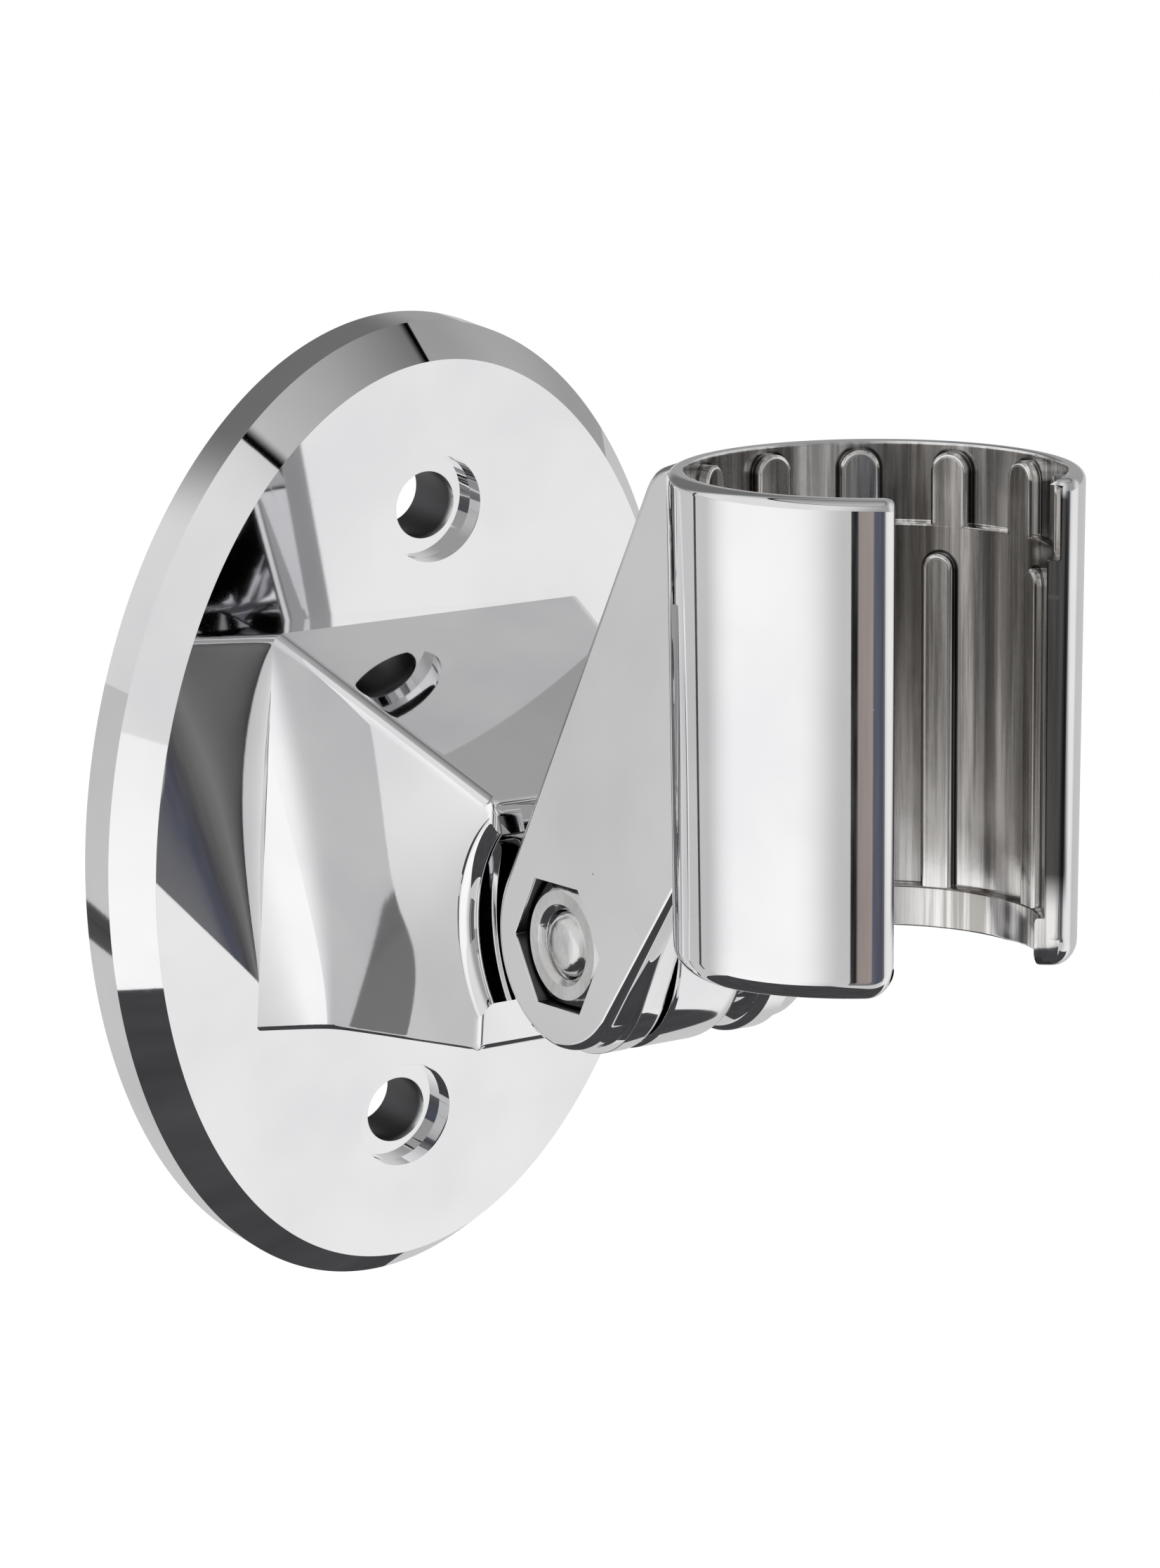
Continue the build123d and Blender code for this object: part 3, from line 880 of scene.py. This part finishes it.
# the pairs are millimetres over which a painted shade line or a painted highlight round an arch or a rib
# comes and goes
inner = {"bright": (0.93, 0.92, 0.91, 1), "brown": (0.46, 0.44, 0.42, 1), "roughness": 0.07,
         "shadeLine": (0.03, 0.028, 0.028, 1), "shadeShare": 0.94, "glint": (1.0, 1.0, 1.0, 1),
         "archShadeLine": ((-0.02, 0.06), (0.22, 0.42)), "archGlint": ((-0.52, -0.40), (-0.24, -0.14)),
         "ribShadeLine": ((-0.02, 0.06), (0.18, 0.34)), "ribGlint": ((-0.48, -0.38), (-0.22, -0.14))}


def plating(sheet, place, settings):
    # mirror plating: faint orange peel, thin polishing marks and a few small pits
    cloud = sheet.noise(place, 60.0, 3.0)
    colour = sheet.blend(sheet.ease(cloud, 0.35, 0.65), settings["bright"], settings["cool"])
    distance, cell = sheet.add("ShaderNodeTexVoronoi", {}, {
        "Vector": place, "Scale": settings["pitCells"]}, out=("Distance", "Color"))
    chance = sheet.add("ShaderNodeSeparateColor", {}, {0: cell})
    pits = (1 - sheet.ease(distance, 0.012, 0.022)) * (chance > 1 - settings["pitShare"])
    colour = sheet.blend(pits * 0.85, colour, settings["pit"])
    marks = sheet.add("ShaderNodeMapping", {}, {0: place, 2: (0.3, 0.5, 0.9), 3: (300.0, 2600.0, 1900.0)})
    scratch = sheet.noise(marks, 1.0)
    roughness = settings["roughness"] + sheet.ease(scratch, 0.6, 0.9) * 0.03 + cloud * 0.015 + pits * 0.4
    height = sheet.noise(place, 420.0) * settings["peel"] - pits * 0.6 + scratch * 0.004
    return colour, roughness, height


def bareParts(sheet, place):
    # painted shade down the screw holes and on the sides of the recesses for nut and head
    x, y, z = sheet.add("ShaderNodeSeparateXYZ", {}, {0: place}, out=(0, 1, 2))
    rise = sheet.maths("ABSOLUTE", z) - plate["screwSpacing"] / 2 * mm
    fromScrew, hole = (x * x + rise * rise) ** 0.5, plate["hole"] / 2
    screw = sheet.below(fromScrew, hole + 0.02, hole + 0.08) * sheet.above(y, -6.2, -5.0)
    fromPivot = ((y + pivot["out"] * mm) ** 2.0 + (z - pivot["up"] * mm) ** 2.0) ** 0.5
    reach, face = holeShade["nutReach"], arm["outer"] - holeShade["nutDepth"]
    recess = sheet.below(fromPivot, reach, reach + 0.1)
    recess = recess * sheet.below(sheet.maths("ABSOLUTE", x), face, face + 0.12)
    return 1 - (1 - screw) * (1 - recess)


def chromeMaterial(name, settings, withHoleShade=False):
    paint, sheet, place = newPaint(name)
    colour, roughness, height = plating(sheet, place, settings)
    if withHoleShade:
        # painted shade in the holes and recesses, with a rougher surface there too
        share = bareParts(sheet, place)
        colour = sheet.blend(share, colour, holeShade["colour"])
        roughness = roughness + share * holeShade["roughness"]
    sheet.coat(colour, roughness, height)
    return paint


def stripEdge(sheet, around, radius, level, strip):
    # distance outwards from the outline of the nearest arch or rib
    turns, half = strip["turns"], strip["width"] / 2 * mm
    step = math.radians(turns[1] - turns[0])
    shifted = around + (step / 2 - math.radians(turns[0]))
    across = (sheet.maths("FLOORED_MODULO", shifted, step) - step / 2) * radius
    above = sheet.maths("MAXIMUM", level - (strip["top"] * mm - half), 0.0)
    return (across * across + above * above) ** 0.5 - half


def cradleMaterial(name, outside, inside):
    # mirror outside; inside the bore the colour is browner and duller, with upright streaks
    paint, sheet, place = newPaint(name)
    x, y, z = sheet.add("ShaderNodeSeparateXYZ", {}, {0: place}, out=(0, 1, 2))
    tilt, bore = math.radians(cradle["lean"]), cradle["upperBore"]
    ledge, foot, top = cradle["upperLedge"], cradle["lowerLedge"], cradle["top"]
    outward = (y + cradle["axisOut"] * mm) * math.cos(tilt) - z * math.sin(tilt)
    level = (y + cradle["axisOut"] * mm) * math.sin(tilt) + z * math.cos(tilt)
    radius = (x * x + outward * outward) ** 0.5
    within = sheet.below(radius, bore - 0.05, bore + 0.3) * sheet.below(level, top - 0.4, top)
    colour, roughness, height = plating(sheet, place, outside)
    upright = sheet.add("ShaderNodeCombineXYZ", {}, {0: x * 900, 1: outward * 900, 2: level * 26})
    streak = sheet.noise(upright, 1.0, 5.0, 0.6)
    dull = sheet.blend(sheet.ease(streak, 0.40, 0.60), inside["brown"], inside["bright"])
    colour = sheet.blend(within, colour, dull)
    # painted shade lines round the arches and ribs, painted highlights along their fronts, and painted shade
    # on the lips where the direction from the axis comes near the gap's edge
    around = sheet.maths("ARCTAN2", x, outward * -1)
    archEdge = stripEdge(sheet, around, radius, level, arch)
    ribEdge = stripEdge(sheet, around, radius, level, rib)
    upper = sheet.band(level, (ledge, ledge + 0.2), (arch["top"] - 0.1, arch["top"] + 0.3))
    lower = sheet.band(level, (foot - 0.05, foot + 0.15), (ledge - 0.2, ledge))
    # painted shade in the creases round the arches and ribs
    dark = upper * sheet.band(archEdge, *inside["archShadeLine"])
    dark = dark + lower * sheet.band(ribEdge, *inside["ribShadeLine"])
    # painted highlights along the fronts of the arches and ribs
    bright = upper * sheet.band(archEdge, *inside["archGlint"])
    bright = bright + lower * sheet.band(ribEdge, *inside["ribGlint"])
    # painted shade along the gap's lips
    lipShade = sheet.ease(outward * -1 / radius, 0.8300, 0.8330) * sheet.below(radius, 15.6, 16.0)
    lipShade = lipShade * sheet.below(level, top - 1.9, top - 0.7) * sheet.above(level, foot + 1.45, foot + 5.45)
    dark = sheet.maths("MINIMUM", dark * within + lipShade, inside["shadeShare"])
    colour = sheet.blend(bright * within, colour, inside["glint"])
    colour = sheet.blend(dark, colour, inside["shadeLine"])
    roughness = roughness + within * (inside["roughness"] + streak * 0.12)
    height = height + within * (streak * 0.35 + sheet.noise(place, 900.0, 4.0) * 0.12)
    sheet.coat(colour, roughness, height)
    return paint


zinc = {"bright": (0.80, 0.80, 0.80, 1), "dark": (0.62, 0.61, 0.60, 1), "roughness": 0.1}
nylon = {"shades": ((0.78, 0.78, 0.76, 1), (0.86, 0.86, 0.84, 1)), "roughness": 0.4}


def steelMaterial(name, settings):
    # plated steel of the fasteners, with a fine grain
    paint, sheet, place = newPaint(name)
    grain, cloud = sheet.noise(place, 1500.0, 4.0), sheet.noise(place, 220.0)
    colour = sheet.blend(sheet.ease(cloud, 0.3, 0.7), settings["bright"], settings["dark"])
    sheet.coat(colour, settings["roughness"] + grain * 0.12, grain, strength=0.3, distance=0.1)
    return paint


def washerMaterial(name, settings):
    # pale matt nylon
    paint, sheet, place = newPaint(name)
    cloud = sheet.noise(place, 500.0, 3.0)
    colour = sheet.blend(cloud, *settings["shades"])
    sheet.coat(colour, settings["roughness"] + cloud * 0.2, cloud, metallic=0.0, strength=0.2, distance=0.1)
    return paint


# studio

studio = {
    "floorLevel": -0.26, "floorSize": 12, "paper": (0.34, 0.34, 0.34, 1),
    "whiteGlow": 0.79, "floorGlow": 0.34,
    # painted pools of light on the floor, seen only in the chrome
    "leftPool": {"way": (-0.99, 0.14, 0), "edges": (0.70, 0.96), "glow": 0.42},
    "rightPool": {"way": (0.60, -0.80, 0), "edges": (0.55, 0.98), "glow": 0.29},
    # the tent's walls and ceiling are a painted reflection that only the chrome sees
    "wallGlow": 0.44, "fill": 0.8, "white": 1.25,      # the background's own colour is 0.8
    "leftWall": {"way": (-0.95, 0.25, 0.25), "edges": (0.35, 0.85), "glow": 0.54},
    "rightWall": {"way": (0.85, -0.40, 0.10), "edges": (0.60, 0.98), "glow": 0.45},
    "backWall": {"way": (0.05, 0.90, 0.40), "edges": (0.84, 0.94), "glow": 0.20},
    "ceiling": {"way": (-0.113, 0, 0.994), "wallEnd": (0.820, 0.824), "edges": (0.834, 0.862),
                "brightWay": (-1, -0.4, 0), "glow": 0.40, "slant": 0.45},
    # cards that only the chrome sees: painted reflections of a cloth, a seam and the tent's opening
    "clothReflection": {"centre": (-0.07, -0.03, -0.2), "size": (0.42, 0.40),
              "shades": ((0.03, 0.03, 0.034, 1), (0.085, 0.085, 0.09, 1))},
    # painted reflection of a seam in the tent, seen only in the chrome
    "seam": {"distance": 0.5, "turn": -153.0, "width": 0.022, "low": -0.26, "high": 0.10,
             "shades": ((0.03, 0.03, 0.03, 1), (0.10, 0.10, 0.10, 1))},
    "openingReflection": {"distance": 0.5, "turn": -31.0, "width": 0.32, "low": -0.25, "high": 0.04,
                "haze": (0.2, 0.2, 0.2, 1), "lower": (0.19, 0.19, 0.19, 1), "stops": [
                    (0.0, (0.01, 0.01, 0.01, 1)), (0.03, (0.08, 0.08, 0.08, 1)),
                    (0.15, (0.20, 0.20, 0.20, 1)), (0.34, (0.10, 0.10, 0.10, 1)),
                    (0.42, (0.07, 0.07, 0.08, 1)), (0.50, (0.075, 0.08, 0.11, 1)),
                    (0.66, (0.10, 0.105, 0.15, 1)), (0.675, (0.34, 0.29, 0.27, 1)),
                    (0.89, (0.30, 0.26, 0.24, 1)), (0.915, (0.012, 0.012, 0.012, 1)),
                    (0.985, (0.02, 0.02, 0.02, 1)), (1.0, (0.2, 0.2, 0.2, 1))]},
    "lamp": {"place": (-0.5, -0.2, 0.8), "size": 0.5, "energy": 1.5},
}


def addCard(name, centre, size, facing):
    bpy.ops.object.select_all(action="DESELECT")
    bpy.ops.mesh.primitive_plane_add(size=1, location=centre)
    card = bpy.context.object
    card.name = name
    card.rotation_euler = Vector(facing).to_track_quat("Z", "Y").to_euler()
    card.scale = (size[0], size[1], 1)
    paint, sheet, place = newPaint(name)
    card.data.materials.append(paint)
    return sheet, place


def addUprightCard(name, settings):
    turn = math.radians(settings["turn"])
    toward = Vector((math.sin(turn), -math.cos(turn), 0))
    low, high = settings["low"], settings["high"]
    centre = toward * settings["distance"] + Vector((0, -0.05, (low + high) / 2))
    return addCard(name, centre, (settings["width"], high - low), -toward)


def lightCard(sheet, colour):
    # painted reflection: a card stands there for what mirrors it and for nothing else
    mirrored = sheet.add("ShaderNodeLightPath", out=3)
    clear = sheet.add("ShaderNodeBsdfTransparent")
    glow = sheet.add("ShaderNodeEmission", {}, {"Color": colour, "Strength": 1.0})
    sheet.finish(sheet.add("ShaderNodeMixShader", {}, {0: mirrored, 1: clear, 2: glow}))


def addCloth(settings):
    # painted reflection of a dark cloth on the table under the object, seen only in the chrome
    sheet, place = addCard("paintedClothReflection", settings["centre"], settings["size"], (0, 0, 1))
    lightCard(sheet, sheet.blend(sheet.noise(place, 9.0, 3.0), *settings["shades"]))


def addOpening(settings):
    # painted reflection of the tent's opening under the camera: a dark edge, warm cloth beside it and a
    # bluish dark room
    sheet, place = addUprightCard("paintedOpeningReflection", settings)
    x, level = sheet.add("ShaderNodeSeparateXYZ", {}, {0: place}, out=(0, 1))
    across = x + 0.5
    ramp = sheet.add("ShaderNodeValToRGB", {"stops": settings["stops"]}, {0: across})
    lower = (1 - sheet.ease(level, -0.25, 0.05)) * sheet.ease(across, 0.5, 0.6)
    colour = sheet.blend(lower * 0.9, ramp, settings["lower"])
    haze = sheet.ease(sheet.noise(place, 14.0, 4.0), 0.4, 0.7)
    lightCard(sheet, sheet.blend(haze * 0.2, colour, settings["haze"]))


def addSeam(settings):
    # painted reflection of a narrow dark strip where two sheets of the tent meet
    sheet, place = addUprightCard("paintedSeamReflection", settings)
    lightCard(sheet, sheet.blend(sheet.noise(place, 6.0), *settings["shades"]))


def towards(sheet, direction, target):
    # how far a direction points at a target: 1 straight at it, 0 square to it
    return sheet.add("ShaderNodeVectorMath", {"operation": "DOT_PRODUCT"},
                     {0: direction, 1: tuple(Vector(target).normalized())}, out=1)


def patch(sheet, direction, settings):
    return sheet.ease(towards(sheet, direction, settings["way"]), *settings["edges"])


def addFloor(settings):
    bpy.ops.object.select_all(action="DESELECT")
    bpy.ops.mesh.primitive_plane_add(size=settings["floorSize"], location=(0, 0, settings["floorLevel"]))
    floor = bpy.context.object
    floor.name = "paleFloor"
    paint, sheet, place = newPaint("palePaper")
    flat = sheet.add("ShaderNodeVectorMath", {"operation": "MULTIPLY"}, {0: place, 1: (1, 1, 0)})
    bearing = sheet.add("ShaderNodeVectorMath", {"operation": "NORMALIZE"}, {0: flat})
    # painted pools of light on the floor that only the chrome sees
    pools = settings["floorGlow"]
    for pool in (settings["leftPool"], settings["rightPool"]):
        pools = pools + patch(sheet, bearing, pool) * pool["glow"]
    seen, mirrored = sheet.add("ShaderNodeLightPath", out=(0, 3))
    strength = seen * settings["whiteGlow"] + mirrored * pools
    matt = sheet.add("ShaderNodeBsdfDiffuse", {}, {"Color": settings["paper"]})
    glow = sheet.add("ShaderNodeEmission", {}, {"Strength": strength})
    sheet.finish(sheet.add("ShaderNodeAddShader", {}, {0: matt, 1: glow}))
    floor.data.materials.append(paint)


def addWorld(settings):
    # white for the camera; for the chrome a painted reflection of a tent with a seam under its ceiling
    world = bpy.data.worlds.new("lightTent")
    bpy.context.scene.world = world
    sheet = Sheet(world)
    way = sheet.add("ShaderNodeTexCoord", out=0)
    tentReflection = settings["wallGlow"]
    for wall in (settings["leftWall"], settings["rightWall"]):
        tentReflection = tentReflection + patch(sheet, way, wall) * wall["glow"]
    behind, dark = patch(sheet, way, settings["backWall"]), settings["backWall"]["glow"]
    tentReflection = tentReflection * (1 - behind) + behind * dark
    top = settings["ceiling"]
    overhead = towards(sheet, way, top["way"])
    panel = top["glow"] + towards(sheet, way, top["brightWay"]) * top["slant"]
    tentReflection = tentReflection * (1 - sheet.ease(overhead, *top["wallEnd"])) + panel * sheet.ease(overhead, *top["edges"])
    seen, mirrored = sheet.add("ShaderNodeLightPath", out=(0, 3))
    strength = seen * settings["white"] + mirrored * tentReflection + (1 - seen) * (1 - mirrored) * settings["fill"]
    light = sheet.add("ShaderNodeBackground", {}, {"Strength": strength})
    sheet.finish(light, "ShaderNodeOutputWorld")


def addLamp(settings):
    bpy.ops.object.light_add(type="AREA", location=settings["place"])
    soft = bpy.context.object
    soft.rotation_euler = (-soft.location).to_track_quat("-Z", "Y").to_euler()
    soft.data.size = settings["size"]
    soft.data.energy = settings["energy"]
    soft.visible_glossy = False


def addStudio(settings):
    addFloor(settings)
    addCloth(settings["clothReflection"])
    addOpening(settings["openingReflection"])
    addSeam(settings["seam"])
    addWorld(settings)
    addLamp(settings["lamp"])
    bpy.context.scene.view_settings.view_transform = "Standard"


def dress(piece, body, paint, slot, *nodes):
    piece.data.materials.clear()
    piece.data.materials.append(paint)
    for polygon in piece.data.polygons:
        polygon.material_index = 0
    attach(piece, body)
    if nodes:
        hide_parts(*nodes)


addCamera(camera)
chrome = chromeMaterial("mirrorChrome", mirror)
boreChrome = cradleMaterial("cradleChrome", mirror, inner)
steel = steelMaterial("platedSteel", zinc)
plastic = washerMaterial("washerPlastic", nylon)
plateChrome = chromeMaterial("plateChrome", mirror, withHoleShade=True)
dress(buildPlate(plate), "bracket", plateChrome, "bracket_chrome", "wall_bracket")
dress(buildBlock(block), "bracket", chrome, "bracket_chrome")
dress(buildKnuckle(knuckle), "bracket", chrome, "bracket_chrome")
shell, strips = buildCradle(cradle)
dress(shell, "cradle", boreChrome, "cradle_chrome", "cradle")
for strip in strips:
    dress(strip, "cradle", boreChrome, "cradle_chrome")
for side in buildFork(arm):
    dress(side, "cradle", plateChrome, "cradle_chrome")
dress(buildNut(nut), "cradle", steel, "plated_steel", "hex_nut")
dress(buildBolt(bolt), "cradle", steel, "plated_steel", "pivot_bolt")
thin, thick = buildWashers(washer)
dress(thin, "cradle", plastic, "washer_plastic", "friction_washers")
dress(thick, "cradle", plastic, "washer_plastic")
addStudio(studio)
print("studio ready")
